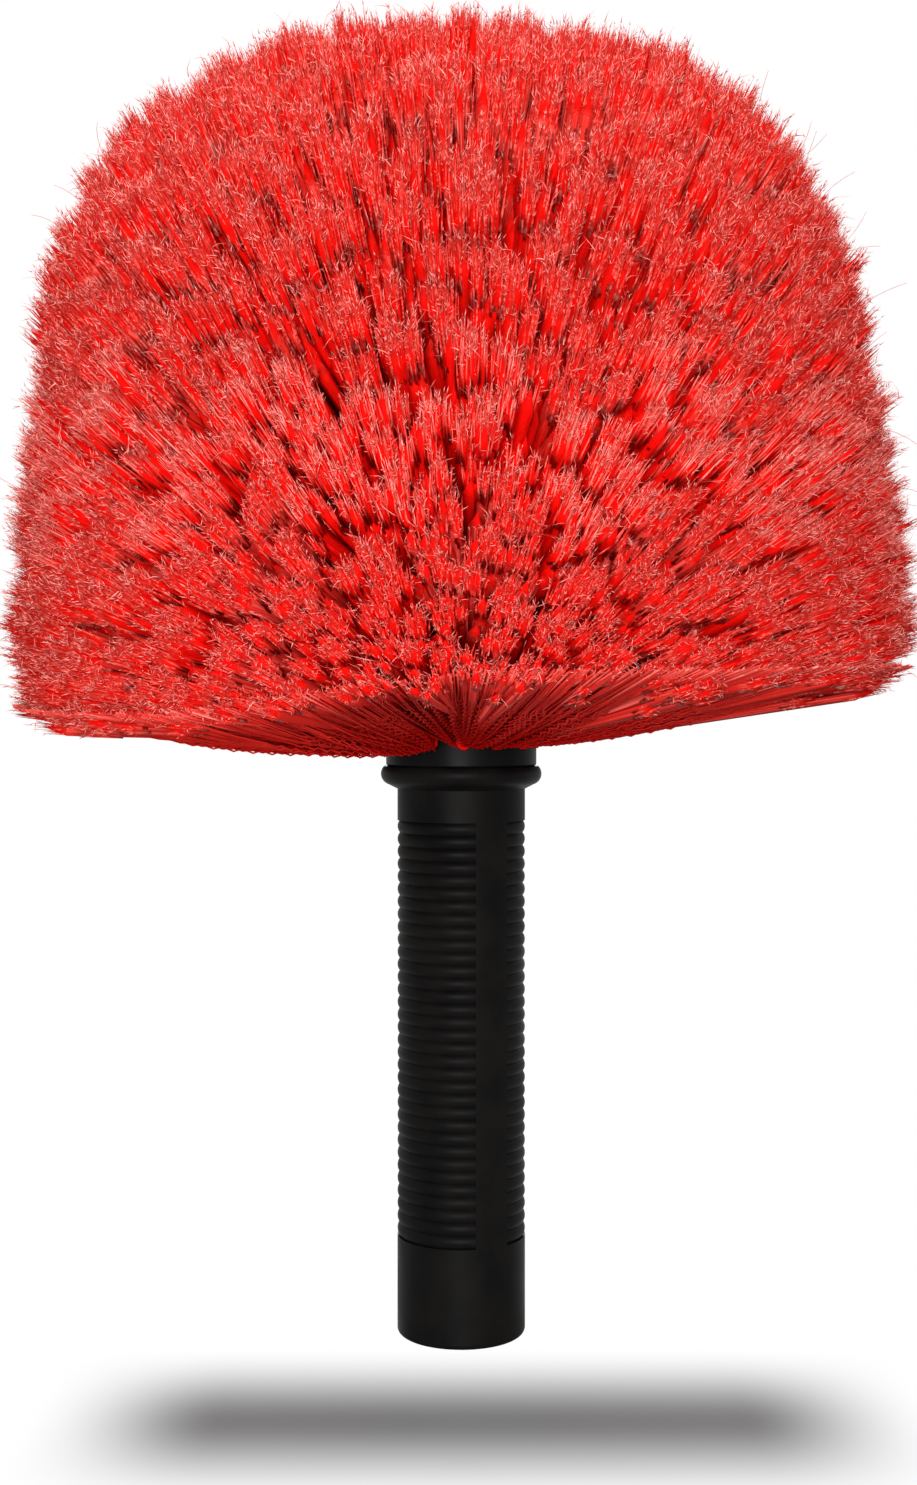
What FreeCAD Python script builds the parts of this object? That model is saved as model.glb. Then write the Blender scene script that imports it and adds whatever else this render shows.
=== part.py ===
import FreeCAD, Part
import math
import os

from collections import namedtuple
from FreeCAD import Placement, Rotation, Vector

# Lengths are in millimetres and angles in degrees. Z runs up the brush and is zero at the mouth of the pole
# socket. Seen from the front, along +Y, the head's cleft is a little to the left.

# Grip tube: moulded handle, ribbed for the hand, with a flange on top that the brush block sits on
tube_od = 28.0
tube_wall = 2.6
tube_length = 124.0
mouth_round = 1.2
flange_od = 35.2
flange_height = 4.9
flange_edge = 1.6
flange_slope = 1.0
flange_lip = 0.6

# Ribs: shallow scallops round the tube, broken by two smooth lands on the mould's parting line
rib_count = 33
rib_pitch = 2.75
rib_depth = 0.55
rib_crest_drop = 0.02
rib_start = 21.5
land_width = 7.7
land_azimuth = -61.4

# Pole socket: sleeve in the tube's mouth for a 3/4 inch, 5 turns to the inch broom pole
pole_thread_od = 19.05
thread_clearance = 0.125
insert_length = 38.0
insert_clearance = 0.05
key_count = 4
key_width = 3.0
key_depth = 0.8
key_clearance = 0.1

# Brush block: round-nosed core with a spigot that drops into the top of the tube
block_od = 33.0
block_height = 78.0
block_edge = 0.5
spigot_length = 12.0
spigot_clearance = 0.15
spigot_end_gap = 0.5

# Fixing screw: pan-head screw and washer, driven up through the tube's inner web into the spigot
web_thickness = 3.5
screw_diameter = 4.0
screw_length = 22.0
screw_point = 3.0
screw_head_od = 8.0
screw_head_height = 2.8
screw_head_round = 1.2
screw_hole_clearance = 0.25
pilot_clearance = 0.05
pilot_extra_depth = 1.5
recess_span = 4.4
recess_width = 1.0
recess_depth = 1.6
washer_od = 12.0
washer_thickness = 1.0

# Tufts: bundles of filament, stapled into drilled holes ring above ring, whose ends part into sprigs
first_ring_height = 5.6
side_rings = 8
nose_rings = 4
tuft_pitch = 7.2
tuft_hole_diameter = 3.6
tuft_hole_depth = 6.5
tuft_clearance = 0.15
tuft_neck = 2.4
tuft_gap = 1.0
split_depth = 16.0
split_width = 4.0
splits_each_way = 2
split_floor = 3.0
lowest_tilt = 6.0
nose_tilt = 42.0
cleft_azimuth = -101.0

# Anchors: the flat wires that hold the tufts in their holes
anchor_thickness = 0.4
anchor_height = 1.6
anchor_rise = 0.9
anchor_clearance = 0.05

# Bristle head: outline that the tips are trimmed to, as tangent arcs from the rim to the crown
dome_radius = 97.8
dome_base_level = 5.5
dome_side_radius = 478.0
dome_side_sweep = 12.0
dome_shoulder_radius = 63.0
dome_shoulder_end = 75.0
dome_floor_level = 2.4
dome_floor_rise = 5.0
dome_rim_round = 9.0

# Radii and levels that several pieces share
tube_radius = tube_od / 2
tube_bore_radius = tube_radius - tube_wall
seat_level = tube_length
block_radius = block_od / 2
block_top = seat_level + block_height
nose_level = block_top - block_radius
spigot_radius = tube_bore_radius - spigot_clearance
spigot_bottom = seat_level - spigot_length
web_top = spigot_bottom - spigot_end_gap
web_bottom = web_top - web_thickness
washer_bottom = web_bottom - washer_thickness
screw_hole_radius = screw_diameter / 2 + screw_hole_clearance
hole_radius = tuft_hole_diameter / 2
plug_radius = hole_radius - tuft_clearance

UP = Vector(0, 0, 1)
Ring = namedtuple("Ring", "socket count")


def polar(centre, radius, angle):
    """Point of a profile at an angle above the horizontal, seen from an arc's centre."""
    turn = math.radians(angle)
    return centre[0] + radius * math.cos(turn), centre[1] + radius * math.sin(turn)


def turned(start, *steps, sweep=360):
    """Solid turned about Z: a step is a corner (radius, height), or two, for an arc through the first."""
    edges = []
    here = start
    for step in (*steps, start):
        corners = step if isinstance(step[0], tuple) else (step,)
        points = [Vector(r, 0, z) for r, z in (here, *corners)]
        edges.append(Part.Arc(*points).toShape() if len(points) == 3 else Part.makeLine(*points))
        here = corners[-1]
    return Part.Face(Part.Wire(edges)).revolve(Vector(), UP, sweep)


def around(shape, count):
    """Copies of a shape, evenly spaced about Z."""
    return [shape.rotated(Vector(), UP, 360 * i / count) for i in range(count)]


def bar(size_x, size_y, low_z, high_z):
    """Upright box centred on Z."""
    return Part.makeBox(size_x, size_y, high_z - low_z, Vector(-size_x / 2, -size_y / 2, low_z))


def rib_cutter():
    """Half of the scalloped band, without the land that stays at its end."""
    land_angle = 2 * math.degrees(math.asin(land_width / 2 / tube_radius))
    outside = tube_radius + tube_wall
    rib_top = rib_start + rib_count * rib_pitch
    crest = tube_radius - rib_crest_drop
    groove = tube_radius - rib_depth
    levels = [rib_top - i * rib_pitch for i in range(rib_count)]
    scallops = [((crest, z - rib_pitch / 2), (groove, z - rib_pitch)) for z in levels]
    edge = [(outside, rib_start), (outside, rib_top), (groove, rib_top)]
    band = turned(*edge, *scallops, sweep=180 - land_angle)
    return band.rotated(Vector(), UP, land_azimuth + land_angle / 2)


def keys(low_z, high_z, clearance=0.0):
    """Keys that stop a piece from turning in the tube's bore or, with a clearance, the slots for them."""
    width = key_width + 2 * clearance
    reach = tube_bore_radius + key_depth + clearance
    return around(Part.makeBox(reach, width, high_z - low_z, Vector(0, -width / 2, low_z)), key_count)


def grip_tube():
    """Handle with its flange, ribs and inner web."""
    flange_bottom = seat_level - flange_height
    flange_radius = flange_od / 2
    edge_low = flange_bottom + flange_slope
    edge_mid = (edge_low + seat_level) / 2
    mouth_centre = (tube_radius - mouth_round, mouth_round)
    body = turned(
        (tube_bore_radius, 0),
        (tube_radius - mouth_round, 0),
        (polar(mouth_centre, mouth_round, -45), (tube_radius, mouth_round)),
        (tube_radius, flange_bottom),
        (flange_radius - flange_edge, edge_low),
        ((flange_radius, edge_mid), (flange_radius - flange_lip, seat_level)),
        (tube_bore_radius, seat_level),
        (tube_bore_radius, web_top),
        (screw_hole_radius, web_top),
        (screw_hole_radius, web_bottom),
        (tube_bore_radius, web_bottom),
    )
    slots = keys(0, insert_length, key_clearance) + keys(web_top, seat_level, key_clearance)
    return body.cut(around(rib_cutter(), 2) + slots)


def pole_thread_insert():
    """Keyed sleeve whose bore is the full diameter of the pole's thread."""
    bore = Part.makeCylinder(pole_thread_od / 2 + thread_clearance, insert_length)
    sleeve = Part.makeCylinder(tube_bore_radius - insert_clearance, insert_length)
    return sleeve.fuse(keys(0, insert_length)).cut(bore).removeSplitter()


def fixing_screw():
    """Pan-head screw, point up, with a cross recess in its head."""
    radius = screw_diameter / 2
    head_radius = screw_head_od / 2
    head_bottom = washer_bottom - screw_head_height
    tip = washer_bottom + screw_length
    edge_centre = (head_radius - screw_head_round, head_bottom + screw_head_round)
    body = turned(
        (0, head_bottom),
        (edge_centre[0], head_bottom),
        (polar(edge_centre, screw_head_round, -45), (head_radius, edge_centre[1])),
        (head_radius, washer_bottom),
        (radius, washer_bottom),
        (radius, tip - screw_point),
        (0, tip),
    )
    slot = bar(recess_span, recess_width, head_bottom, head_bottom + recess_depth)
    return body.cut([slot, slot.rotated(Vector(), UP, 90)])


def screw_washer():
    """Plain washer under the screw's head."""
    disc = Part.makeCylinder(washer_od / 2, washer_thickness, Vector(0, 0, washer_bottom))
    return disc.cut(Part.makeCylinder(screw_hole_radius, washer_thickness, Vector(0, 0, washer_bottom)))


def rim_centre(side_centre):
    """Centre of the rim's rounding, which touches the head's floor from above and its side from within."""
    slope = math.radians(dome_floor_rise)
    along = Vector(math.cos(slope), math.sin(slope), 0)
    upward = Vector(-along.y, along.x, 0)
    start = Vector(0, seat_level + dome_floor_level, 0) + upward * dome_rim_round
    from_side = start - Vector(*side_centre, 0)
    back = from_side.dot(along)
    run = math.sqrt((dome_side_radius - dome_rim_round) ** 2 - from_side.dot(from_side) + back**2) - back
    centre = start + along * run
    return centre.x, centre.y


def bristle_dome():
    """Solid inside the trimmed outline of the bristle head."""
    side_centre = (dome_radius - dome_side_radius, seat_level + dome_base_level)
    rim = rim_centre(side_centre)
    rim_turn = math.degrees(math.atan2(rim[1] - side_centre[1], rim[0] - side_centre[0]))
    shoulder_centre = polar(side_centre, dome_side_radius - dome_shoulder_radius, dome_side_sweep)
    crown_radius = dome_shoulder_radius + shoulder_centre[0] / math.cos(math.radians(dome_shoulder_end))
    crown_centre = polar(shoulder_centre, dome_shoulder_radius - crown_radius, dome_shoulder_end)
    stretches = [
        (rim, dome_rim_round, dome_floor_rise - 90, rim_turn),
        (side_centre, dome_side_radius, rim_turn, dome_side_sweep),
        (shoulder_centre, dome_shoulder_radius, dome_side_sweep, dome_shoulder_end),
        (crown_centre, crown_radius, dome_shoulder_end, 90),
    ]
    arcs = [(polar(c, r, (low + high) / 2), polar(c, r, high)) for c, r, low, high in stretches]
    arcs[-1] = (arcs[-1][0], (0, crown_centre[1] + crown_radius))
    floor_edge = polar(rim, dome_rim_round, dome_floor_rise - 90)
    return turned((0, seat_level + dome_floor_level), floor_edge, *arcs)


def ring_at(radius, level, tilt, staggered):
    """One ring: how many tufts, and where the first one stands, with Z along it from the block's surface."""
    count = max(1, int(2 * math.pi * radius / tuft_pitch))
    azimuth = math.radians(cleft_azimuth + (0 if staggered else 180 / count))
    outward = Vector(math.cos(azimuth), math.sin(azimuth), 0)
    across = Vector(-math.sin(azimuth), math.cos(azimuth), 0)
    along = outward * math.cos(math.radians(tilt)) + UP * math.sin(math.radians(tilt))
    turn = Rotation(across, along.cross(across), along, "ZXY")
    return Ring(Placement(outward * radius + UP * level, turn), count)


def rings_of_tufts():
    """Rings up the block's side, and over its nose to a single tuft, half a step clear of their meeting."""
    rings = []
    first_level = seat_level + first_ring_height
    for i in range(side_rings):
        share = i / (side_rings - 0.5)
        level = first_level + (nose_level - first_level) * share
        rings.append(ring_at(block_radius, level, lowest_tilt + (nose_tilt - lowest_tilt) * share, i % 2))
    for i in range(nose_rings):
        share = (i + 0.5) / (nose_rings - 0.5)
        radius, level = polar((0, nose_level), block_radius, 90 * share)
        rings.append(ring_at(radius, level, nose_tilt + (90 - nose_tilt) * share, len(rings) % 2))
    return rings


def brush_block(rings):
    """Core with a drilled hole for every tuft and a pilot hole for the screw."""
    body = turned(
        (0, spigot_bottom),
        (spigot_radius, spigot_bottom),
        (spigot_radius, seat_level),
        (block_radius - block_edge, seat_level),
        (block_radius, seat_level + block_edge),
        (block_radius, nose_level),
        (polar((0, nose_level), block_radius, 45), (0, block_top)),
    )
    pilot_depth = washer_bottom + screw_length + pilot_extra_depth - spigot_bottom
    pilot = Part.makeCylinder(screw_diameter / 2 + pilot_clearance, pilot_depth, Vector(0, 0, spigot_bottom))
    hole = Part.makeCylinder(hole_radius, tuft_hole_depth + tuft_neck, Vector(0, 0, -tuft_hole_depth))
    holes = [copy for ring in rings for copy in around(hole.transformed(ring.socket.Matrix), ring.count)]
    keyed = body.fuse(keys(spigot_bottom, seat_level)).removeSplitter()
    return keyed.cut([pilot] + holes)


def reach(socket, dome):
    """How far a tuft goes from the block to the trimmed outline."""
    root = socket.Base
    beyond = socket.multVec(UP * 2 * (dome_radius + block_height))
    return Part.makeLine(root, beyond).common(dome).Length


def end_splits(depth_level, end_radius):
    """V-shaped grooves, both ways across a tuft's end, that part it into sprigs."""
    height = split_depth + 2 * end_radius
    flare = split_width / 2 * height / split_depth
    side = 2 * end_radius
    corners = [(0, 0), (flare, height), (-flare, height), (0, 0)]
    section = Part.makePolygon([Vector(x, -side, depth_level + z) for x, z in corners])
    groove = Part.Face(section).extrude(Vector(0, 2 * side, 0))
    step = 2 * end_radius / (splits_each_way + 1)
    shifts = [Vector((i + 1) * step - end_radius, 0, 0) for i in range(splits_each_way)]
    grooves = [groove.translated(shift) for shift in shifts]
    return grooves + [g.rotated(Vector(), UP, 90) for g in grooves]


def tuft(socket, length, tip_radius, dome):
    """One bundle: a round plug in its hole, looped under its anchor, that spreads into trimmed sprigs."""
    low = anchor_clearance - tuft_hole_depth
    plug = Part.makeCylinder(plug_radius, tuft_neck - low, Vector(0, 0, low))
    slot_low = anchor_rise - tuft_hole_depth - anchor_clearance
    slot_high = slot_low + anchor_height + 2 * anchor_clearance
    slot = bar(tuft_hole_diameter, anchor_thickness + 2 * anchor_clearance, slot_low, slot_high)
    end_level = length - split_depth - split_floor
    taper = (tip_radius - plug_radius) / (length - tuft_neck)
    end_radius = plug_radius + taper * (end_level - tuft_neck)
    beyond = length + tip_radius
    spread = turned(
        (0, tuft_neck), (plug_radius, tuft_neck), (end_radius, end_level), (end_radius, beyond), (0, beyond)
    )
    sprigs = spread.cut(end_splits(length - split_depth, end_radius))
    trimmed = sprigs.transformed(socket.Matrix).common(dome)
    return plug.cut(slot).transformed(socket.Matrix).fuse(trimmed).removeSplitter()


def anchor(socket):
    """Flat wire that lies across the bottom of a tuft's hole."""
    low = anchor_rise - tuft_hole_depth
    wire = bar(tuft_hole_diameter - 2 * anchor_clearance, anchor_thickness, low, low + anchor_height)
    return wire.transformed(socket.Matrix)


def tip_points(ring, length):
    """Where the middles of a ring's tips lie."""
    tip = ring.socket.multVec(UP * length)
    return [Rotation(UP, 360 * i / ring.count).multVec(tip) for i in range(ring.count)]


def first_tufts(rings, dome):
    """First tuft of each ring, as thick at its tip as its nearest neighbour leaves room for."""
    lengths = [reach(ring.socket, dome) for ring in rings]
    tips = [tip for ring, length in zip(rings, lengths) for tip in tip_points(ring, length)]
    tufts = []
    for ring, length in zip(rings, lengths):
        distances = sorted(tip.distanceToPoint(tip_points(ring, length)[0]) for tip in tips)
        tufts.append(tuft(ring.socket, length, (distances[1] - tuft_gap) / 2, dome))
    return tufts


def main():
    os.makedirs("parts", exist_ok=True)
    rings = rings_of_tufts()
    parts = {
        "grip_tube": grip_tube(),
        "pole_thread_insert": pole_thread_insert(),
        "fixing_screw": fixing_screw(),
        "screw_washer": screw_washer(),
        "brush_block": brush_block(rings),
    }
    for number, (ring, first) in enumerate(zip(rings, first_tufts(rings, bristle_dome())), 1):
        parts[f"tuft_ring_{number:02d}"] = Part.makeCompound(around(first, ring.count))
        parts[f"anchor_ring_{number:02d}"] = Part.makeCompound(around(anchor(ring.socket), ring.count))
    for name, shape in parts.items():
        shape.exportStep(f"parts/{name}.step")
        state = "valid" if shape.isValid() else "not valid"
        print(name, len(shape.Solids), "solids", round(shape.Volume), "mm3", state)


main()
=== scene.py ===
import math

import bmesh
import bpy
import numpy as np
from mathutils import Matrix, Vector


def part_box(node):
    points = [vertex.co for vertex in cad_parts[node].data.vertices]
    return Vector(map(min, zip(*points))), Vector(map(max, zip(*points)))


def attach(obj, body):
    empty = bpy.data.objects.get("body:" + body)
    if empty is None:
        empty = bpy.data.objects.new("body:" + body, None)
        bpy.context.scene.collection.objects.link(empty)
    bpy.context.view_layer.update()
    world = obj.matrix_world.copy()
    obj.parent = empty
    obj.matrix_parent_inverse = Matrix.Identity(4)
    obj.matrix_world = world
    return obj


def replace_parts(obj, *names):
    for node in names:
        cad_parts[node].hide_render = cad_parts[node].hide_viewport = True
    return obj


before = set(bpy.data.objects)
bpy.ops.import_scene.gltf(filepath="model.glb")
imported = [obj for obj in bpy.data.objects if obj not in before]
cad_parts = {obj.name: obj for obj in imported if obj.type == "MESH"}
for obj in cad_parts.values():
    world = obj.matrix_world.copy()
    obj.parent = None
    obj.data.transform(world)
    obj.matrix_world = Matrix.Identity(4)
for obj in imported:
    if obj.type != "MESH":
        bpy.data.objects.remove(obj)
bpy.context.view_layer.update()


# Grip tube.
# Ribbed handle of black polypropylene, injection moulded, with a fine matt grain from the mould.
# The CAD solid keeps its shape. The insert, the block and the washer are fixed in it.
mm = 0.001


def linear(code):
    """Gives an sRGB hex colour as the linear colour that a shader takes."""
    parts = [int(code[i : i + 2], 16) / 255 for i in (1, 3, 5)]
    return (*[c / 12.92 if c <= 0.04045 else ((c + 0.055) / 1.055) ** 2.4 for c in parts], 1.0)


def add_node(tree, kind, inputs=None, **settings):
    """Adds a node with its settings. An input is a value, or another node's output to link."""
    node = tree.nodes.new(kind)
    for name, value in settings.items():
        setattr(node, name, value)
    for name, value in (inputs or {}).items():
        if isinstance(value, bpy.types.NodeSocket):
            tree.links.new(value, node.inputs[name])
        else:
            node.inputs[name].default_value = value
    return node


def ramp(tree, factor, stops):
    """Adds a colour ramp over a factor, from (place, hex colour) stops."""
    node = add_node(tree, "ShaderNodeValToRGB", {"Fac": factor})
    while len(node.color_ramp.elements) < len(stops):
        node.color_ramp.elements.new(0.5)
    for element, (place, code) in zip(node.color_ramp.elements, stops):
        element.position = place
        element.color = linear(code)
    return node.outputs["Color"]


def new_tree(name):
    """Makes a node material and gives it with its emptied node tree."""
    material = bpy.data.materials.new(name)
    material.use_nodes = True
    material.node_tree.nodes.clear()
    return material, material.node_tree


def moulded_plastic(name, dark, light, grain, low, high):
    """Moulded plastic: cloudy shade between two colours, a grain in mm, a range of roughness."""
    material, tree = new_tree(name)
    place = add_node(tree, "ShaderNodeTexCoord").outputs["Object"]
    cloud = add_node(tree, "ShaderNodeTexNoise", {"Vector": place, "Scale": 1 / (9 * mm), "Detail": 4.0})
    fine = add_node(tree, "ShaderNodeTexNoise", {"Vector": place, "Scale": 1 / (grain * mm), "Detail": 2.0})
    rough = add_node(
        tree,
        "ShaderNodeMapRange",
        {"Value": cloud.outputs["Fac"], "From Min": 0.3, "From Max": 0.7, "To Min": low, "To Max": high},
    )
    bump = add_node(
        tree, "ShaderNodeBump", {"Height": fine.outputs["Fac"], "Strength": 0.25, "Distance": 0.02 * mm}
    )
    shader = add_node(
        tree,
        "ShaderNodeBsdfPrincipled",
        {
            "Base Color": ramp(tree, cloud.outputs["Fac"], [(0.35, dark), (0.65, light)]),
            "Roughness": rough.outputs["Result"],
            "Normal": bump.outputs["Normal"],
            "Specular IOR Level": 0.04,
        },
    )
    add_node(tree, "ShaderNodeOutputMaterial", {"Surface": shader.outputs["BSDF"]})
    return material


def finish_cad(node, material):
    """Puts a material on every slot of a CAD node that stays in view."""
    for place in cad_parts[node].material_slots:
        place.material = material


# Black polypropylene, matt.
finish_cad("grip_tube", moulded_plastic("black_polypropylene", "#080707", "#0e0d0c", 0.35, 0.42, 0.55))


# Pole thread insert.
# Keyed sleeve of dark grey nylon in the tube's mouth, with a coarse pole thread moulded in its bore.
# The CAD sleeve keeps its shape. The thread's ridge is a profile wound round the bore on a screw path.
bore_radius = 9.65 * mm
ridge_height = 1.5 * mm
thread_pitch = 25.4 * mm / 5
ridge_from, ridge_to = 3.0 * mm, 34.0 * mm
turn_steps = 40
# Dark grey nylon, slightly glossier than the tube.
insert_nylon = moulded_plastic("dark_grey_nylon", "#1d1d1f", "#29292b", 0.3, 0.3, 0.42)
finish_cad("pole_thread_insert", insert_nylon)


def add_piece(name, mesh, material):
    """Puts a mesh in the scene as a piece that rides on the brush, with a material and a slot."""
    mesh.materials.clear()
    mesh.materials.append(material)
    piece = bpy.data.objects.new(name, mesh)
    bpy.context.collection.objects.link(piece)
    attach(piece, "root")
    return piece


form = bmesh.new()
let_in, foot, crest = 0.2 * mm, 1.5 * mm, 0.55 * mm
ridge_profile = [(let_in, -foot), (-ridge_height, -crest), (-ridge_height, crest), (let_in, foot)]
corners = [form.verts.new((bore_radius + inward, 0, ridge_from + up)) for inward, up in ridge_profile]
first_face = form.faces.new(corners)
ridge_turns = (ridge_to - ridge_from) / thread_pitch
ridge_steps = round(ridge_turns * turn_steps)
bmesh.ops.spin(
    form,
    geom=[first_face],
    cent=(0, 0, 0),
    axis=(0, 0, 1),
    dvec=(0, 0, (ridge_to - ridge_from) / ridge_steps),
    angle=2 * math.pi * ridge_turns,
    steps=ridge_steps,
    use_duplicate=False,
)
bmesh.ops.recalc_face_normals(form, faces=form.faces)
ridge = bpy.data.meshes.new("pole_thread_ridge")
form.to_mesh(ridge)
form.free()
add_piece("pole_thread_ridge", ridge, insert_nylon)


# Washer and fixing screw.
# Zinc plated steel, the washer under the screw's head inside the tube, both turned and brushed by wear.
# The CAD solids keep their shapes.
steel, tree = new_tree("zinc_plated_steel")
place = add_node(tree, "ShaderNodeTexCoord").outputs["Object"]
mottle = add_node(tree, "ShaderNodeTexNoise", {"Vector": place, "Scale": 1 / (1.6 * mm), "Detail": 5.0})
shader = add_node(
    tree,
    "ShaderNodeBsdfPrincipled",
    {
        "Base Color": ramp(tree, mottle.outputs["Fac"], [(0.3, "#9a9c9f"), (0.7, "#bfc1c4")]),
        "Metallic": 1.0,
        "Roughness": 0.34,
    },
)
add_node(tree, "ShaderNodeOutputMaterial", {"Surface": shader.outputs["BSDF"]})
finish_cad("screw_washer", steel)
finish_cad("fixing_screw", steel)


# Brush block.
# Drilled core of black polypropylene, screwed to the tube, of which a short band shows under the bristles.
# The CAD solid keeps its shape.
# Black polypropylene, turned smooth.
turned = moulded_plastic("smooth_black_polypropylene", "#070606", "#0c0b0b", 0.5, 0.36, 0.46)
finish_cad("brush_block", turned)


# Anchor wires.
# Flat strips of brassed steel wire, one across the bottom of each tuft's hole, all hidden in the block.
# The CAD solids keep their shapes.
wire, tree = new_tree("brassed_steel_wire")
place = add_node(tree, "ShaderNodeTexCoord").outputs["Object"]
drawn = add_node(tree, "ShaderNodeTexNoise", {"Vector": place, "Scale": 1 / (0.8 * mm), "Detail": 3.0})
shader = add_node(
    tree,
    "ShaderNodeBsdfPrincipled",
    {
        "Base Color": ramp(tree, drawn.outputs["Fac"], [(0.3, "#a88a4e"), (0.7, "#c7aa6a")]),
        "Metallic": 1.0,
        "Roughness": 0.36,
    },
)
add_node(tree, "ShaderNodeOutputMaterial", {"Surface": shader.outputs["BSDF"]})
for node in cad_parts:
    if node.startswith("anchor_ring"):
        finish_cad(node, wire)


# Tufts.
# Bundles of red polyester filament, each folded over its wire in a hole of the block, ring above ring.
# A ring is two pieces of tubes along curves: stems, which are cores with loose strands, and split ends.
rng = np.random.default_rng(41)
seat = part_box("grip_tube")[1][2]
block_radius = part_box("brush_block")[1][0]
block_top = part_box("brush_block")[1][2]
nose_centre = block_top - block_radius
first_ring, side_rings, nose_rings = seat + 5.6 * mm, 8, 4
lowest_tilt, nose_tilt, cleft = 6, 42, -101
ring_counts = [14] * (side_rings + 1) + [11, 6, 1]
hub = np.array([0, 0, seat - 3 * mm])
sprig_pitch = 7.4 * mm
locks_in_sprig, short_in_sprig = 7, 4
lock_spread = 3.1 * mm
tuft_uneven, sprig_uneven, lock_uneven = 2.4 * mm, 3.6 * mm, 1.4 * mm
sunk_share, sunk_by, short_by = 0.15, (3 * mm, 14 * mm), (7 * mm, 13 * mm)
strands_in_lock = 9
hairs_in_lock = 14
curls_in_lock = 2
hair_size, hair_long, hair_back = 0.12 * mm, (0.7 * mm, 1.8 * mm), 7 * mm
wisp_size, wisp_long, wisp_veer, locks_to_wisp = 0.05 * mm, (3 * mm, 9 * mm), 45, 60
core_way, strand_way, mass_way = 0.88, 0.94, 0.6
head_lean = math.radians(1.9)
side_swell, crown_swell = 3.7 * mm, 3.0 * mm
head_aside = 0.8 * mm
draw_together = 0.05
lift_azimuths = [-180, -125, -90, -60, 0, 90]
lift_heights = [5, 2, 8, 7, 6.5, 4]
lift_ends = [10 * mm, 60 * mm]
cleft_turns, cleft_reach = math.radians(4), math.radians(20)
cleft_rises, cleft_wide = 6.75 * mm, math.radians(9)
cleft_seen = math.radians(-96)


def unit(vectors):
    """Scales vectors to length one."""
    return vectors / np.linalg.norm(vectors, axis=-1, keepdims=True)


def arc(centre, radius, low, high):
    """Gives points in mm along an arc of the head's outline, by radius from the axis and height."""
    turn = np.radians(np.linspace(low, high, 80))
    return np.stack([centre[0] + radius * np.cos(turn), centre[1] + radius * np.sin(turn)], axis=1)


# The trimmed tips lie on the outline of the CAD tufts: rim, side, shoulder and crown.
outline = mm * np.concatenate(
    [
        arc((88.6, 143.2), 9, -80, 0),
        arc((-380.2, 129.5), 478, 1.7, 12)[1:],
        arc((25.73, 215.78), 63, 12, 75)[1:],
        arc((0, 119.8), 162.4, 75, 90)[1:],
    ]
)
travelled = np.concatenate([[0], np.cumsum(np.linalg.norm(np.diff(outline, axis=0), axis=1))])


def rim_lift(azimuth):
    """Gives how far the head's rim stands above the outline at azimuths, most in front and on the right."""
    return mm * np.interp(np.degrees(azimuth), lift_azimuths, lift_heights, period=360)


def on_outline(distance, azimuth):
    """Gives points of the outline at distances from the rim and at azimuths, leaning with the head."""
    out = np.interp(distance, travelled, outline[:, 0])
    up = np.interp(distance, travelled, outline[:, 1]) - seat
    x, y = out * np.cos(azimuth), out * np.sin(azimuth)
    lift = rim_lift(azimuth) * np.interp(up, lift_ends, [1, 0])
    lean = math.sin(head_lean)
    tips = np.stack([x - up * lean + head_aside, y, seat + up + x * lean + lift], axis=-1)
    swell = np.interp(up, [0, outline[-1, 1] - seat], [side_swell, crown_swell])
    return tips + unit(tips - hub) * swell[..., None]


# Roots and directions of the tufts, ring by ring, as the block is drilled.
roots, axes, rings = [], [], []
for ring, count in enumerate(ring_counts):
    if ring < side_rings:
        share = ring / (side_rings - 0.5)
        out, up = block_radius, first_ring + (nose_centre - first_ring) * share
        tilt = math.radians(lowest_tilt + (nose_tilt - lowest_tilt) * share)
    else:
        share = (ring - side_rings + 0.5) / (nose_rings - 0.5)
        out = block_radius * math.cos(math.pi / 2 * share)
        up = nose_centre + block_radius * math.sin(math.pi / 2 * share)
        tilt = math.radians(nose_tilt + (90 - nose_tilt) * share)
    for k in range(count):
        azimuth = math.radians(cleft + (0 if ring % 2 else 180 / count) + 360 * k / count)
        outward = np.array([math.cos(azimuth), math.sin(azimuth), 0])
        roots.append(out * outward + np.array([0, 0, up]))
        axes.append(math.cos(tilt) * outward + np.array([0, 0, math.sin(tilt)]))
        rings.append(ring)
roots, axes, rings = np.array(roots), np.array(axes), np.array(rings)

# Sprig tips in rows up the outline, each sprig given to the tuft that points nearest to it.
sprigs = []
for row in np.arange(0.6 * sprig_pitch, travelled[-1], sprig_pitch):
    count = max(1, round(2 * math.pi * np.interp(row, travelled, outline[:, 0]) / sprig_pitch))
    azimuth = 2 * math.pi * (np.arange(count) + rng.random() + rng.uniform(-0.35, 0.35, count)) / count
    sprigs.append(on_outline(row + rng.uniform(-0.35, 0.35, count) * sprig_pitch, azimuth))
sprigs = np.concatenate(sprigs)
reach = np.linalg.norm(sprigs[:, None] - roots[None], axis=2, keepdims=True)
pointed = roots[None] + axes[None] * reach
owner = np.argmin(np.linalg.norm(sprigs[:, None] - pointed, axis=2), axis=1)

# The sprigs of a tuft draw together a little, which leaves creases between tufts.
members = np.bincount(owner, minlength=len(roots))[owner, None]
sums = np.stack([np.bincount(owner, sprigs[:, k], len(roots)) for k in range(3)], axis=1)
sprigs = sprigs + draw_together * (sums[owner] / members - sprigs)

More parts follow.
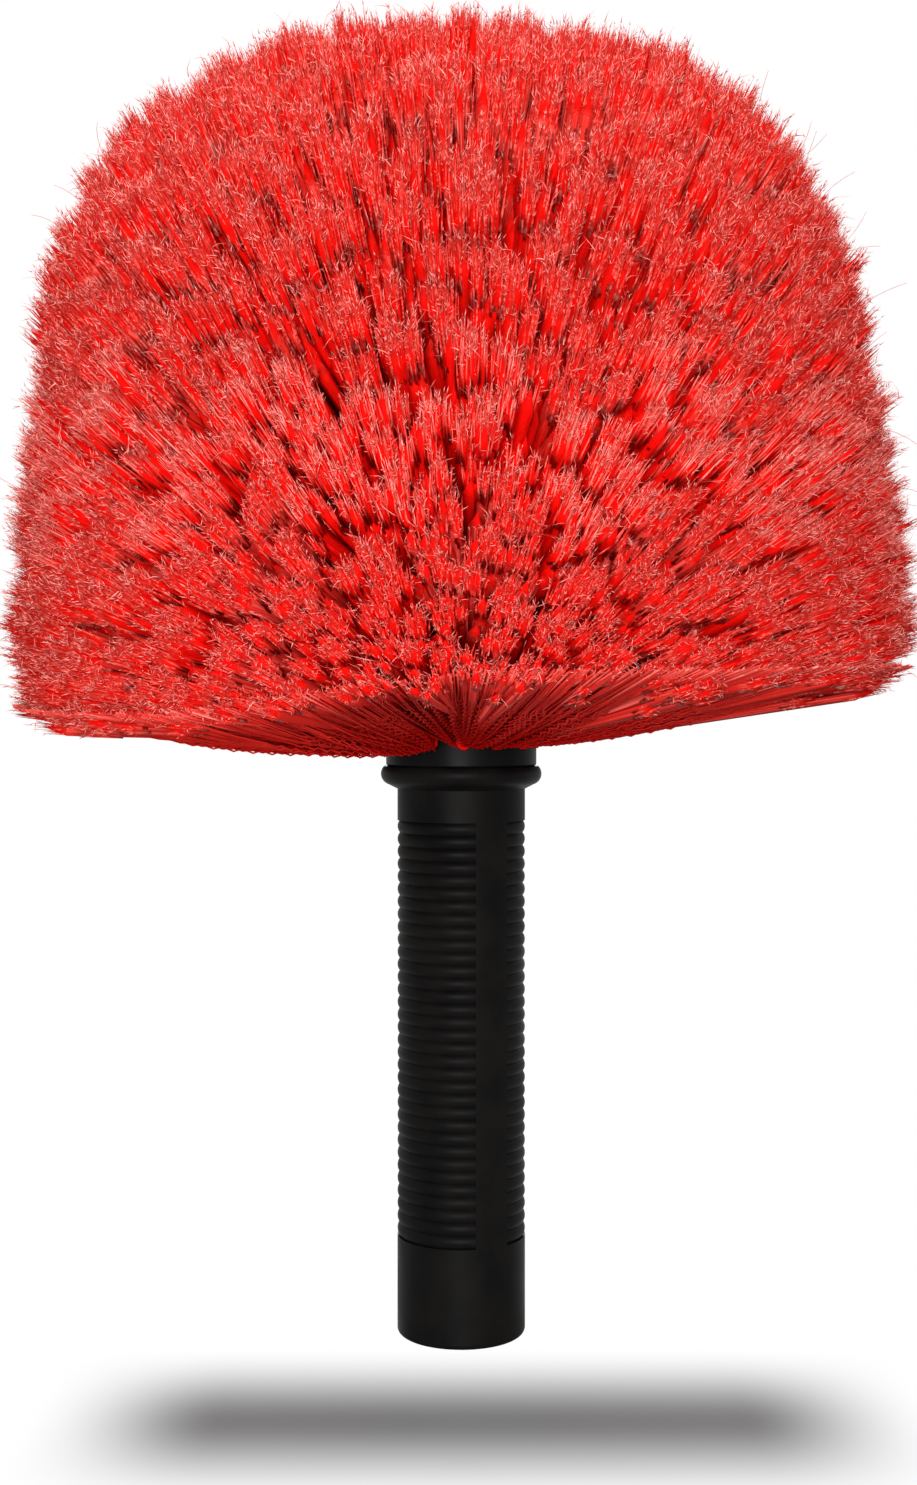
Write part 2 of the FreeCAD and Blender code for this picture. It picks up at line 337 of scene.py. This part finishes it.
# Each sprig is a few locks side by side, with short ones between them that fill the head.
# A lock ends below the outline by what its tuft, its sprig and itself fall short.
locks = locks_in_sprig + short_in_sprig
sprig_of = np.repeat(np.arange(len(sprigs)), locks)
short = np.tile(np.arange(locks) >= locks_in_sprig, len(sprigs))
tuft_of = owner[sprig_of]
count = len(sprig_of)
inward = unit(hub - sprigs[sprig_of])
aside = unit(np.cross(inward, rng.normal(0, 1, (count, 3))))
off_middle = lock_spread * np.where(short, 1.3, 1.0) * np.sqrt(rng.random(count))
tips = sprigs[sprig_of] + aside * off_middle[:, None]
drop = rng.uniform(0, tuft_uneven, len(roots))[tuft_of]
drop = drop + rng.uniform(0, sprig_uneven, len(sprigs))[sprig_of]
drop = drop + rng.uniform(0, lock_uneven, count)
drop = drop + (rng.random(count) < sunk_share) * rng.uniform(*sunk_by, count)
drop = drop + short * rng.uniform(*short_by, count)
tips = tips + inward * drop[:, None]
tones = rng.uniform(0.25, 0.75, len(sprigs))[sprig_of] + rng.normal(0, 0.08, count)

# Dyed red polyester filament, pale where the ends are split, with painted light and shade along it.
# The colour follows the piece's own map: across it a shade for each strand, up it the way to the tip.
bristle, tree = new_tree("red_polyester_filament")
mapped = add_node(tree, "ShaderNodeUVMap", uv_map="OFBake").outputs["UV"]
split = add_node(tree, "ShaderNodeSeparateXYZ", {"Vector": mapped})
fibres = add_node(tree, "ShaderNodeMapping", {"Vector": mapped, "Scale": (36, 9, 1)})
streak = add_node(
    tree,
    "ShaderNodeTexNoise",
    {"Vector": fibres.outputs["Vector"], "Scale": 1.0, "Detail": 3.0},
    noise_dimensions="2D",
)
shift = add_node(
    tree,
    "ShaderNodeMapRange",
    {"Value": streak.outputs["Fac"], "From Min": 0.25, "From Max": 0.75, "To Min": -0.1, "To Max": 0.1},
)
way = add_node(tree, "ShaderNodeMath", {0: split.outputs["Y"], 1: shift.outputs["Result"]})
along = ramp(
    tree,
    way.outputs["Value"],
    [
        # Painted light: deep in the head, where the gaps lie in shade, the red is made brighter.
        (0.0, "#e60e09"),
        (0.45, "#e00f09"),
        # Painted shade: the red is darker below the ends, where the lamps light the sides of the locks.
        (0.65, "#cb130d"),
        (0.86, "#de3028"),
        (0.93, "#f25c52"),
        (1.0, "#ffaaa0"),
    ],
)
dye = add_node(tree, "ShaderNodeMapRange", {"Value": split.outputs["X"], "To Min": 0.84, "To Max": 1.0})
line = add_node(
    tree,
    "ShaderNodeMapRange",
    {"Value": streak.outputs["Fac"], "From Min": 0.3, "From Max": 0.6, "To Min": 0.72, "To Max": 1.0},
)
value = add_node(
    tree, "ShaderNodeMath", {0: dye.outputs["Result"], 1: line.outputs["Result"]}, operation="MULTIPLY"
)
shade = add_node(tree, "ShaderNodeHueSaturation", {"Color": along, "Value": value.outputs["Value"]})
shader = add_node(
    tree,
    "ShaderNodeBsdfPrincipled",
    {
        "Base Color": shade.outputs["Color"],
        "Roughness": 0.6,
        "Specular IOR Level": 0.02,
    },
)
add_node(tree, "ShaderNodeOutputMaterial", {"Surface": shader.outputs["BSDF"]})


def parting(azimuth):
    """Gives how far bristles at azimuths turn away from the front cleft, where they leave the block."""
    off = np.angle(np.exp(1j * (azimuth - cleft_seen)))
    return cleft_turns * np.sign(off) * np.exp(-np.abs(off) / cleft_reach)


def rise(azimuth):
    """Gives how far bristles at azimuths rise over the front cleft, which bares the block below them."""
    off = np.angle(np.exp(1j * (azimuth - cleft_seen)))
    return cleft_rises * np.exp(-((off / cleft_wide) ** 2))


def regular_section(name, sides):
    """Makes a closed section with a number of sides and a radius of one, for curves to be drawn with."""
    section = bpy.data.curves.new(name, "CURVE")
    section.dimensions = "2D"
    loop = section.splines.new("POLY")
    loop.points.add(sides - 1)
    loop.use_cyclic_u = True
    for k, point in enumerate(loop.points):
        point.co = (math.cos(2 * math.pi * k / sides), math.sin(2 * math.pi * k / sides), 0, 1)
    drawn = bpy.data.objects.new(name, section)
    bpy.context.collection.objects.link(drawn)
    return drawn


def tubes(section, points, radii, shades, ways):
    """Makes closed tubes along rows of points. Shades go by tube and side, ways by tube and point."""
    curve = bpy.data.curves.new("tubes", "CURVE")
    curve.dimensions = "3D"
    curve.bevel_mode = "OBJECT"
    curve.bevel_object = section
    curve.use_fill_caps = True
    count, steps = points.shape[:2]
    sides = len(section.data.splines[0].points)
    flat = np.concatenate([points, np.ones((count, steps, 1))], axis=2).astype(np.float32)
    widths = np.broadcast_to(radii, (count, steps)).astype(np.float32)
    for tube in range(count):
        spline = curve.splines.new("POLY")
        spline.points.add(steps - 1)
        spline.points.foreach_set("co", flat[tube].ravel())
        spline.points.foreach_set("radius", widths[tube])
    drawn = bpy.data.objects.new("tubes", curve)
    bpy.context.collection.objects.link(drawn)
    mesh = bpy.data.meshes.new_from_object(drawn.evaluated_get(bpy.context.evaluated_depsgraph_get()))
    bpy.data.objects.remove(drawn)
    bpy.data.curves.remove(curve)
    # The mesh holds the caps of all tubes first, then the tubes, point by point and side by side.
    spots = np.empty((count, steps, sides, 2), dtype=np.float32)
    spots[..., 0] = np.broadcast_to(shades[:, None], (count, steps, sides))
    spots[..., 1] = np.broadcast_to(ways, (count, steps))[:, :, None]
    spots = np.concatenate([spots[:, [0, -1]].reshape(-1, 2), spots.reshape(-1, 2)])
    corners = np.empty(len(mesh.loops), dtype=np.int32)
    mesh.loops.foreach_get("vertex_index", corners)
    mesh.uv_layers[0].name = "OFBake"
    mesh.uv_layers[0].data.foreach_set("uv", spots[corners].ravel())
    return mesh


def curve_at(t, *corners):
    """Gives points of a cubic curve at shares of its length."""
    a, b, c, d = [corner[:, None] for corner in corners]
    return (1 - t) ** 3 * a + 3 * t * (1 - t) ** 2 * b + 3 * t**2 * (1 - t) * c + t**3 * d


def split_hairs(strands, spread, shades, count, steps, curl):
    """Makes a number of pointed hairs on the ends of strands, standing off to all sides."""
    on = rng.integers(0, len(strands), count)
    heading = unit(strands[on, -1] - strands[on, -2])
    foot = strands[on, -1] - heading * hair_back * rng.random((count, 1)) ** 1.2
    away = unit(1.2 * heading + 0.5 * unit(spread[on] + 1e-9) + rng.normal(0, 0.4, (count, 3)))
    veer = np.cross(away, rng.normal(0, 1, (count, 3)))
    gone = np.linspace(0, 1, steps)[None, :, None]
    size = rng.uniform(*hair_long, (count, 1, 1)) * (1 + curl)
    hairs = foot[:, None] + size * (away[:, None] * gone + curl * veer[:, None] * gone**2)
    tone = np.clip(shades[on] + rng.normal(0, 0.15, (count, 1)), 0, 1)
    taper = hair_size * (1 - gone[0, :, 0])
    ways = strand_way + (1 - strand_way) * gone[0, :, 0]
    return tubes(strand_section, hairs, taper, np.tile(tone, (1, 3)), ways)


def add_bristles(name, parts, tufts):
    """Joins meshes of tubes, closes their pointed ends and puts them in place of a node of tufts."""
    form = bmesh.new()
    for part in parts:
        form.from_mesh(part)
        bpy.data.meshes.remove(part)
    bmesh.ops.remove_doubles(form, verts=form.verts, dist=0.002 * mm)
    bmesh.ops.recalc_face_normals(form, faces=form.faces)
    mesh = bpy.data.meshes.new(name)
    form.to_mesh(mesh)
    form.free()
    mesh.shade_smooth()
    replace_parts(add_piece(name, mesh, bristle), tufts)


strand_section = regular_section("strand_section", 3)
core_sides = 3
core_section = regular_section("core_section", core_sides)
mass_sides = 10
mass_section = regular_section("mass_section", mass_sides)
mass_stations = np.array([0.0, 0.1, 0.25, 0.45, 0.5])
mass_sizes = np.array([1.7, 3.0, 4.4, 6.0, 4.0]) * mm
plug_ends, plug_size = np.array([-4.5, 0.4]) * mm, 1.7 * mm
core_stations = np.array([0.0, 0.4, 0.95, 1.0])
core_sizes = np.array([0.3, 0.85, 1.45, 0.0]) * mm
core_short = 2 * mm
strand_stations = np.array([0.9, 1.0])
strand_opens = np.array([0.9, 1.15])
strand_sizes = np.array([0.36, 0.0]) * mm
strand_spread = 1.3 * mm
outer_lower, uneven_cut, tip_jitter = 3 * mm, 0.5 * mm, 0.35 * mm
rooted, fan, leaves, arrives = 4 * mm, 0.085, 0.3, 0.42
for ring in range(len(ring_counts)):
    mine = np.flatnonzero((rings[tuft_of] == ring) & (~short | (ring > 1)))
    root, axis, tip = roots[tuft_of[mine]], axes[tuft_of[mine]], tips[mine]
    length = np.linalg.norm(tip - root, axis=1, keepdims=True)
    aim = unit(tip - hub)
    across = unit(np.cross(aim, np.array([0.3, 0.2, 1.0])))
    over = np.cross(aim, across)
    lateral = (tip - root) - axis * np.sum((tip - root) * axis, axis=1, keepdims=True)
    # A lock leaves along its hole and turns to point away from the hub. Its core ends below its tip.
    start = root - axis * rooted + lateral * fan
    level = root + axis * length * leaves
    if ring == 0:
        start += np.cross([0, 0, 1], root) * parting(np.arctan2(root[:, 1], root[:, 0]))[:, None]
        level[:, 2] += rise(np.arctan2(tip[:, 1], tip[:, 0]))
    path = (start, level, tip - aim * length * arrives, tip)
    core_t = core_stations[None] * (1 - core_short / length)
    girth = rng.uniform(0.8, 1.2, (len(mine), 1)) * np.where(short[mine], 1.15, 1.0)[:, None]
    tone = tones[mine, None]
    core_shades = np.clip(tone + rng.normal(0, 0.28, (len(mine), core_sides)), 0, 1)
    core_lines = curve_at(core_t[:, :, None], *path)
    stems = [tubes(core_section, core_lines, core_sizes * girth, core_shades, core_t * core_way)]
    # Deep in the head each tuft is a packed mass. In the lowest ring it only fills its hole.
    hole, bore = roots[rings == ring][:, None], axes[rings == ring][:, None]
    if ring:
        mass_lines = hole + bore * mass_stations[None, :, None] * np.mean(length)
        mass_shades = rng.random((len(hole), mass_sides))
        stems.append(tubes(mass_section, mass_lines, mass_sizes, mass_shades, mass_stations * mass_way))
    else:
        plug_lines = hole + bore * plug_ends[None, :, None]
        plug_shades = np.full((len(hole), mass_sides), 0.4)
        stems.append(tubes(mass_section, plug_lines, plug_size, plug_shades, np.full(2, 0.5)))
    # Each strand keeps its place in the lock, most of them round its outside, and outer strands end lower.
    full = np.flatnonzero(~short[mine])
    lock = np.repeat(full, strands_in_lock)
    n = len(lock)
    turn, far = rng.uniform(0, 2 * math.pi, (n, 1)), rng.random((n, 1)) ** 0.4
    spread = far * strand_spread * girth[lock] * (np.cos(turn) * across[lock] + np.sin(turn) * over[lock])
    cut = far**3 * rng.uniform(0, outer_lower, (n, 1)) + np.abs(rng.normal(0, uneven_cut, (n, 1)))
    strand_t = strand_stations[None] * (1 - cut / length[lock])
    strands = curve_at(strand_t[:, :, None], *[corner[lock] for corner in path])
    strands = strands + spread[:, None] * strand_opens[None, :, None]
    strands[:, 1] += rng.normal(0, tip_jitter, (n, 3))
    shades = np.clip(tone[lock] + rng.normal(0, 0.18, (n, 1)), 0, 1)
    ways = strand_t * strand_way
    stems.append(tubes(strand_section, strands, strand_sizes, np.tile(shades, (1, 3)), ways))
    ends = split_hairs(strands, spread, shades, len(full) * hairs_in_lock, 2, 0)
    curls = split_hairs(strands, spread, shades, len(full) * curls_in_lock, 3, 0.6)
    # A few long hairs stand clear of the sprigs.
    clear = rng.integers(0, n, len(full) // locks_to_wisp)
    m = len(clear)
    heading = unit(unit(strands[clear, -1] - strands[clear, -2]) + rng.normal(0, 0.5, (m, 3)))
    veer = np.cross(heading, rng.normal(0, 1, (m, 3)))
    gone = np.linspace(0, 1, 5)[None, :, None] * rng.uniform(*wisp_long, (m, 1, 1))
    curved = heading[:, None] * gone + veer[:, None] * gone**2 * wisp_veer
    wisp_lines = strands[clear, -1][:, None] + curved
    wisps = tubes(strand_section, wisp_lines, wisp_size, np.full((m, 3), 0.9), np.linspace(0.93, 1.0, 5))
    add_bristles(f"bristles_ring_{ring + 1:02d}", stems, f"tuft_ring_{ring + 1:02d}")
    add_bristles(f"split_ends_ring_{ring + 1:02d}", (ends, curls, wisps), f"tuft_ring_{ring + 1:02d}")


# Crimped strands of the lowest ring.
# The lowest tufts spread into a skirt under the head, where the filament's crimp shows near the block.
# Each strand bulges down out of its hole, zigzags for most of its length and runs on to the rim.
crimp_rise, crimp_step, crimped = 0.42 * mm, 2.2 * mm, 25
crimps_end, skirt_run = 65 * mm, 81 * mm
skirt_strands = 80
strand_radius, bundle_half, rim_band = 0.22 * mm, 1.4 * mm, 3 * mm
fan_held, fans_over, parts_over = 0.55, 7 * mm, 8 * mm
bulge_run, crimp_ends = 74 * mm, [40 * mm, 60 * mm]
sag_azimuths, sag_depths = [-180, -112, -85, -30, 90], [3.2, 3.9, 2.2, 0.9, 1.2]
tuft = np.repeat(np.flatnonzero(rings == 0), skirt_strands)
n = len(tuft)
middle = np.arctan2(roots[tuft, 1], roots[tuft, 0])
aside = rng.uniform(-1, 1, n) * math.pi / ring_counts[0]
tip = on_outline(rng.uniform(0, rim_band, n), middle + aside)
# Each strand is drawn in its own upright plane first, by radius and height.
tip = np.stack([np.hypot(tip[:, 0], tip[:, 1]), tip[:, 2]], axis=1)
length = tip[:, :1] - block_radius
height = roots[tuft, 2] + rng.uniform(-bundle_half, bundle_half, n)
start = np.stack([np.full(n, block_radius - 3 * mm), height], axis=1)
level = start + np.array([1, math.tan(math.radians(lowest_tilt))]) * length * leaves
path = (start, level, tip - unit(tip - hub[[0, 2]]) * length * arrives, tip)
crimps = np.arange(crimped) * crimp_step + rng.uniform(0, 2 * crimp_step, (n, 1))
crimps[:, 0] = 0
stations = np.concatenate([crimps, np.tile([crimps_end, skirt_run], (n, 1))], axis=1) / skirt_run
strands = curve_at(stations[:, :, None], *path)
past = np.maximum(strands[..., 0] - block_radius, 0)
azimuth = middle[:, None] + aside[:, None] * (1 - fan_held * np.exp(-past / fans_over))
azimuth = azimuth + parting(middle + aside)[:, None] * np.exp(-past / parts_over)
# The lowest strands bulge down past the block's edge, least on the right, and zigzag with their crimp.
sag = mm * np.interp(np.degrees(azimuth), sag_azimuths, sag_depths, period=360) - rise(azimuth)
bulge = sag * np.sin(math.pi * np.clip(past / bulge_run, 0, 1) ** 0.7)
zigzag = crimp_rise * np.where(np.arange(stations.shape[1]) % 2, 1, -1)[None]
zigzag = zigzag * np.interp(past, crimp_ends, [1, 0])
strands = np.stack(
    [
        strands[..., 0] * np.cos(azimuth) - zigzag * np.sin(azimuth),
        strands[..., 0] * np.sin(azimuth) + zigzag * np.cos(azimuth),
        strands[..., 1] + zigzag * rng.uniform(-1, 1, (n, 1)) - bulge * rng.uniform(0.2, 1, (n, 1)),
    ],
    axis=2,
)
shades = np.clip(rng.normal(0.5, 0.3, (n, 1)), 0, 1)
skirt = tubes(strand_section, strands, strand_radius, np.tile(shades, (1, 3)), 0.5 + 0.4 * stations)
ends = split_hairs(strands[:, -2:], np.zeros((n, 3)), shades, 2 * n * curls_in_lock, 2, 0)
add_bristles("bristles_skirt", (skirt, ends), "tuft_ring_01")
for section in (strand_section, core_section, mass_section):
    bpy.data.curves.remove(section.data)


# Studio.
# Floor a little below the handle, white but for a painted shadow of grey board under the brush.
# Soft light from above, from the front and from behind, and even light from the white surroundings.
floor_level = -20 * mm
# Half width, half depth and offset of the painted shadow's soft oblong.
shadow_wide, shadow_deep, shadow_aside = 0.102, 0.05, 0.005
form = bmesh.new()
bmesh.ops.create_circle(form, cap_ends=True, segments=96, radius=3.0)
bmesh.ops.translate(form, verts=form.verts, vec=(0, 0, floor_level))
floor_mesh = bpy.data.meshes.new("floor")
form.to_mesh(floor_mesh)
form.free()
floor = bpy.data.objects.new("floor", floor_mesh)
bpy.context.collection.objects.link(floor)
# Matt grey board, seen as it is in a soft oblong under the brush as a painted shadow, and white elsewhere.
board, tree = new_tree("board_with_painted_shadow")
place = add_node(tree, "ShaderNodeTexCoord").outputs["Object"]
moved = add_node(tree, "ShaderNodeMapping", {"Vector": place, "Location": (-shadow_aside, 0, 0)})
ways = add_node(tree, "ShaderNodeSeparateXYZ", {"Vector": moved.outputs["Vector"]})
kept = []
for way, near, far in (("X", 0.56 * shadow_wide, shadow_wide), ("Y", 0.0, shadow_deep)):
    off = add_node(tree, "ShaderNodeMath", {0: ways.outputs[way]}, operation="ABSOLUTE")
    fall = add_node(
        tree,
        "ShaderNodeMapRange",
        {"Value": off.outputs["Value"], "From Min": near, "From Max": far, "To Min": 1.0, "To Max": 0.0},
        interpolation_type="SMOOTHSTEP",
    )
    kept.append(fall.outputs["Result"])
# The oblong's grey is mostly painted shadow. The brush's cast shadow darkens it only a little more.
painted_shadow = add_node(tree, "ShaderNodeMath", {0: kept[0], 1: kept[1]}, operation="MULTIPLY")
fade = add_node(tree, "ShaderNodeMath", {0: 1.0, 1: painted_shadow.outputs["Value"]}, operation="SUBTRACT")


def shows_background(tree):
    """Adds a factor that is one for rays from the camera, from gloss and through glass, and else nought."""
    light_path = add_node(tree, "ShaderNodeLightPath")
    seen = light_path.outputs["Is Camera Ray"]
    for ray in ("Is Glossy Ray", "Is Transmission Ray"):
        seen = add_node(
            tree, "ShaderNodeMath", {0: seen, 1: light_path.outputs[ray]}, operation="MAXIMUM"
        ).outputs[0]
    return seen


seen = add_node(
    tree, "ShaderNodeMath", {0: fade.outputs["Value"], 1: shows_background(tree)}, operation="MULTIPLY"
)
matt = add_node(tree, "ShaderNodeBsdfDiffuse", {"Color": linear("#888888")})
white = add_node(tree, "ShaderNodeEmission", {"Color": linear("#ffffff"), "Strength": 1.0})
blend = add_node(
    tree,
    "ShaderNodeMixShader",
    {0: seen.outputs[0], 1: matt.outputs["BSDF"], 2: white.outputs["Emission"]},
)
add_node(tree, "ShaderNodeOutputMaterial", {"Surface": blend.outputs["Shader"]})
floor_mesh.materials.append(board)

world = bpy.data.worlds.new("white_surroundings")
bpy.context.scene.world = world
world.use_nodes = True
tree = world.node_tree
tree.nodes.clear()
strength = add_node(
    tree, "ShaderNodeMapRange", {"Value": shows_background(tree), "To Min": 0.7, "To Max": 1.0}
)
sky = add_node(
    tree,
    "ShaderNodeBackground",
    {"Color": linear("#ffffff"), "Strength": strength.outputs["Result"]},
)
add_node(tree, "ShaderNodeOutputWorld", {"Surface": sky.outputs["Background"]})


def add_lamp(name, size, power, place, target):
    """Adds a square soft light that faces a point."""
    lamp = bpy.data.lights.new(name, "AREA")
    lamp.shape = "SQUARE"
    lamp.size = size
    lamp.energy = power
    body = bpy.data.objects.new(name, lamp)
    body.location = place
    body.rotation_euler = (Vector(target) - Vector(place)).to_track_quat("-Z", "Y").to_euler()
    bpy.context.collection.objects.link(body)


add_lamp("front_light", 0.5, 24.0, (-0.05, -1.3, 0.14), (0, 0, 0.15))
add_lamp("back_light", 0.5, 9.0, (0.0, 1.3, 0.5), (0, 0, 0.15))
add_lamp("top_light", 1.0, 42.0, (0.0, 0.0, 2.4), (0, 0, 0.1))

# Camera, level and a little above the middle of the handle's flange, where the photograph's horizon lies.
camera_data = bpy.data.cameras.new("camera")
camera_data.sensor_width = 36
camera_data.lens = 47.9
camera_data.shift_y = -0.0286
camera_data.clip_start = 0.02
camera = bpy.data.objects.new("camera", camera_data)
camera.location = (-0.0006, -0.434, 0.1385)
camera.rotation_euler = (math.pi / 2, 0, 0)
bpy.context.collection.objects.link(camera)
bpy.context.scene.camera = camera
bpy.context.scene.view_settings.view_transform = "Standard"
